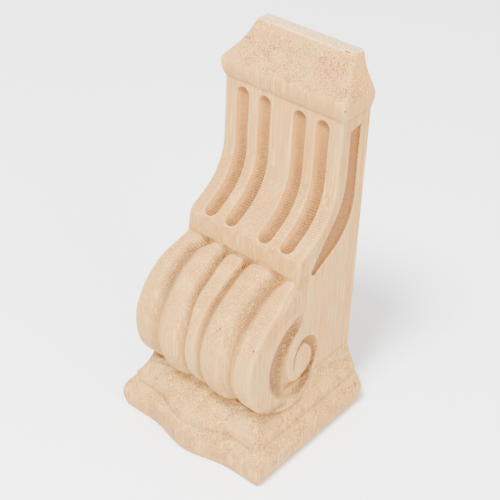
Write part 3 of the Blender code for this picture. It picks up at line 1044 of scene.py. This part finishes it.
def wood(marks):
    """Bare pale wood with painted shade and highlights: a color laid up tone by tone, and a bump from the
    same forms.
    """
    n = Nodes("wood_with_painted_shade")
    n.place = n.add("ShaderNodeTexCoord").outputs["Object"]
    n.at = n.parts(n.place)
    turned = n.parts(n.add("ShaderNodeNewGeometry").outputs["Normal"])
    n.off_back = n.step(turned["Y"], 0.9, 0.6)
    end_grain = n.step(n.math("ABSOLUTE", turned["Z"]), 0.04, 0.42)
    on_foot = n.step(n.at["Z"], (base_height + 1) * MM, (base_height - 3) * MM)
    on_cap = n.step(n.at["Z"], (neck_top + 1) * MM, (neck_top + 9) * MM)
    lit_top = n.step(n.at["Z"], (overall_height - 0.6) * MM, (overall_height - 0.2) * MM)
    on_ends = n.math("MAXIMUM", on_cap, on_foot)

    # Grain and patches of tone
    n.color = pale
    n.lay(tan, n.step(n.noise((6, 6, 120), 3, distortion=0.6), 0.35, 0.68), 0.40)
    streaks = n.step(n.noise((0.60, 0.60, 22), 3, (3, 1, 7)), 0.40, 0.66)
    n.lay(tan, streaks, 0.52)
    for sizes, shift, low, high, strength, tone in patches:
        n.lay(tone, n.step(n.noise(sizes, 2, shift), low, high), strength)
    lay_lines(n)
    # Painted highlight: the top face is laid lighter, as light from above would show it
    n.lay(top_highlight, lit_top, 0.45)

    # Long pores of the grain, and round ones where the ends of the grain show
    radius = n.step(n.noise((7, 7, 30), 2, (1, 6, 2)), 0.38, 0.66, 0.16, 0.44)
    pore = n.dots((0.80, 0.80, 9), (5, 5, 5), radius)
    n.lay(brown_and_shade, pore, n.math("MULTIPLY_ADD", n.times(end_grain, on_ends), 0.75, 0.25))
    radius = n.step(n.noise((6, 6, 6), 3, (7, 6, 2)), 0.34, 0.60, 0.22, 0.56)
    speck = n.dots((0.62, 0.62, 0.62), (1, 9, 5), radius)
    specked = n.times(end_grain, n.math("MULTIPLY_ADD", on_ends, 0.66, 0.20))
    specked = n.times(n.math("MAXIMUM", n.times(on_foot, 0.76), specked), n.off_back)
    n.lay(brown_and_shade, speck, specked)

    # Hatch of the carving tool
    wave = n.math("SINE", n.times(n.attribute("hatch_run"), math.tau / hatch_pitch))
    patchy = n.step(n.noise((9, 9, 9), 2, (3, 3, 9)), 0.30, 0.56)
    lines = n.times(n.attribute("machined"), patchy, n.step(wave, -0.3, 0.8))
    n.lay(tan, lines, 0.70)

    # Darker grounds of the carved hollows, stippled or in rows, with painted shade on the ledge's face, in
    # the flutes, above the fallen tops and under the roll
    grit = n.noise((0.66, 0.66, 0.66), 1, (2, 2, 2))
    stipple = n.step(grit, 0.40, 0.60)
    rows = n.step(n.math("ADD", n.times(wave, 0.14), grit), 0.40, 0.60)
    soft = n.step(n.noise((5, 5, 5), 2, (4, 8, 1)), 0.25, 0.60, 0.60, 1.0)
    strip, volute_dark = n.attribute("strip"), n.attribute("volute_dark")
    flute_shade_and_grit, groove = n.attribute("flute_shade_and_grit"), n.attribute("groove")
    # Painted shade on the ledge's upright face
    n.lay(tan, n.attribute("ledge_shade"), 0.35)
    n.lay(amber, n.attribute("flute"), 0.62)
    n.lay(tan, n.attribute("volute"), 0.15)
    n.lay(rust, strip, 0.85)
    n.lay(brown_and_shade, strip, stipple, 0.22)
    n.lay(brown_and_shade, volute_dark, n.math("MULTIPLY_ADD", stipple, 0.50, 0.40))
    # Painted shade on the flutes' right walls, with the stipple of their rough ground
    n.lay(umber_and_shade, flute_shade_and_grit, n.math("MULTIPLY_ADD", rows, 0.62, 0.36), soft)
    cover = n.times(n.math("MULTIPLY_ADD", rows, 0.52, 0.22), soft)
    # The roll's grooves: stippled rough ground with painted shade, and painted shade in the creases above
    # the fallen tops
    n.lay(umber_and_shade, groove, cover)
    # Painted shade under the roll where it meets the foot, broken by the same stipple
    n.lay(brown_and_shade, n.attribute("under_roll_shade"), cover)

    # Painted highlight along the edges and painted shade in the hollows
    fine = n.attribute("edge_fine")
    n.lay(tan, n.step(n.attribute("edge_broad"), -0.05, -0.60, 0.0, 0.35))
    off_foot = n.math("SUBTRACT", 1.0, n.times(on_foot, 0.9))
    n.lay(cream_and_edge_highlight, n.step(fine, 0.03, 0.14, 0.0, 0.16), off_foot)
    off_eye = n.math("MULTIPLY_ADD", n.attribute("eye"), -0.7, 1.0)
    n.lay(brown_and_shade, n.step(fine, -0.02, -0.11), n.math("MULTIPLY_ADD", on_foot, 0.12, 0.25), off_eye)

    for place, radius, depth in marks:
        gap = n.add("ShaderNodeVectorMath", operation="DISTANCE")
        n.put(n.place, gap.inputs[0])
        gap.inputs[1].default_value = place
        n.lay(black, n.step(gap.outputs["Value"], radius * MM, radius * MM * 0.4), depth)

    # Surface: grain, pores, hatch and rough grounds pressed in
    n.put(n.color, n.shader.inputs["Base Color"])
    n.shader.inputs["Roughness"].default_value = 0.72
    n.shader.inputs["Specular IOR Level"].default_value = 0.25
    carved = n.math("MAXIMUM", strip, volute_dark)
    carved = n.math("MAXIMUM", carved, n.math("MAXIMUM", flute_shade_and_grit, groove))
    height = n.math("ADD", n.times(stipple, carved, -1.0), n.times(streaks, -0.30))
    holes = n.math("ADD", n.times(pore, -0.8), n.times(speck, specked, -1.2))
    height = n.math("ADD", height, n.math("ADD", holes, n.times(lines, -0.5)))
    bump = n.add("ShaderNodeBump")
    bump.inputs["Strength"].default_value = 0.8
    bump.inputs["Distance"].default_value = 0.28 * MM
    n.put(height, bump.inputs["Height"])
    n.put(bump.outputs[0], n.shader.inputs["Normal"])
    return n.material


def floor():
    mesh = bmesh.new()
    bmesh.ops.create_grid(mesh, x_segments=1, y_segments=1, size=4.0)
    ground = make_object("floor", mesh)
    ground.location.z = -0.0002
    n = Nodes("pale_floor")
    n.shader.inputs["Base Color"].default_value = (0.93, 0.93, 0.93, 1.0)
    n.shader.inputs["Roughness"].default_value = 0.9
    n.shader.inputs["Specular IOR Level"].default_value = 0.1
    ground.data.materials.append(n.material)


def area_light(name, place, size, power):
    data = bpy.data.lights.new(name, "AREA")
    data.shape = "DISK"
    data.size = size
    data.energy = power
    lamp = bpy.data.objects.new(name, data)
    lamp.location = place
    aim = Vector((0.0, 0.0, 0.08)) - Vector(place)
    lamp.rotation_euler = aim.to_track_quat("-Z", "Y").to_euler()
    bpy.context.scene.collection.objects.link(lamp)


def lights():
    area_light("key", (0.05, -0.60, 1.30), 0.40, 74.0)
    area_light("side", (1.0, -0.25, 0.55), 0.6, 16.0)
    world = bpy.data.worlds.new("studio")
    bpy.context.scene.world = world
    world.use_nodes = True
    backdrop = world.node_tree.nodes["Background"]
    backdrop.inputs["Color"].default_value = (1.0, 1.0, 1.0, 1.0)
    backdrop.inputs["Strength"].default_value = 1.6


def camera():
    """The photograph's view: the fitted direction, distance, roll and focal length."""
    azimuth, elevation, roll = (math.radians(angle) for angle in camera_angles)
    height = cad_box[1][2] - cad_box[0][2]
    target = Vector(camera_target) * height + Vector((0.0, back_y * MM, 0.0))
    level = Vector((math.sin(azimuth), -math.cos(azimuth), 0.0))
    back = level * math.cos(elevation) + Vector((0.0, 0.0, math.sin(elevation)))
    right = Vector((math.cos(azimuth), math.sin(azimuth), 0.0))
    up = back.cross(right)
    rolled_right = math.cos(roll) * right + math.sin(roll) * up
    rolled_up = -math.sin(roll) * right + math.cos(roll) * up
    data = bpy.data.cameras.new("camera")
    data.sensor_width = sensor_size
    data.sensor_height = sensor_size
    data.lens = focal_length
    data.clip_start = 0.01
    view = bpy.data.objects.new("camera", data)
    matrix = Matrix((rolled_right, rolled_up, back)).transposed().to_4x4()
    matrix.translation = target + back * camera_distance * height
    view.matrix_world = matrix
    bpy.context.scene.collection.objects.link(view)
    bpy.context.scene.camera = view


camera()
piece = carved_corbel()
piece.data.materials.clear()
piece.data.materials.append(wood(seated_marks(piece.data)))
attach(piece, "root")
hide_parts("corbel")
floor()
lights()
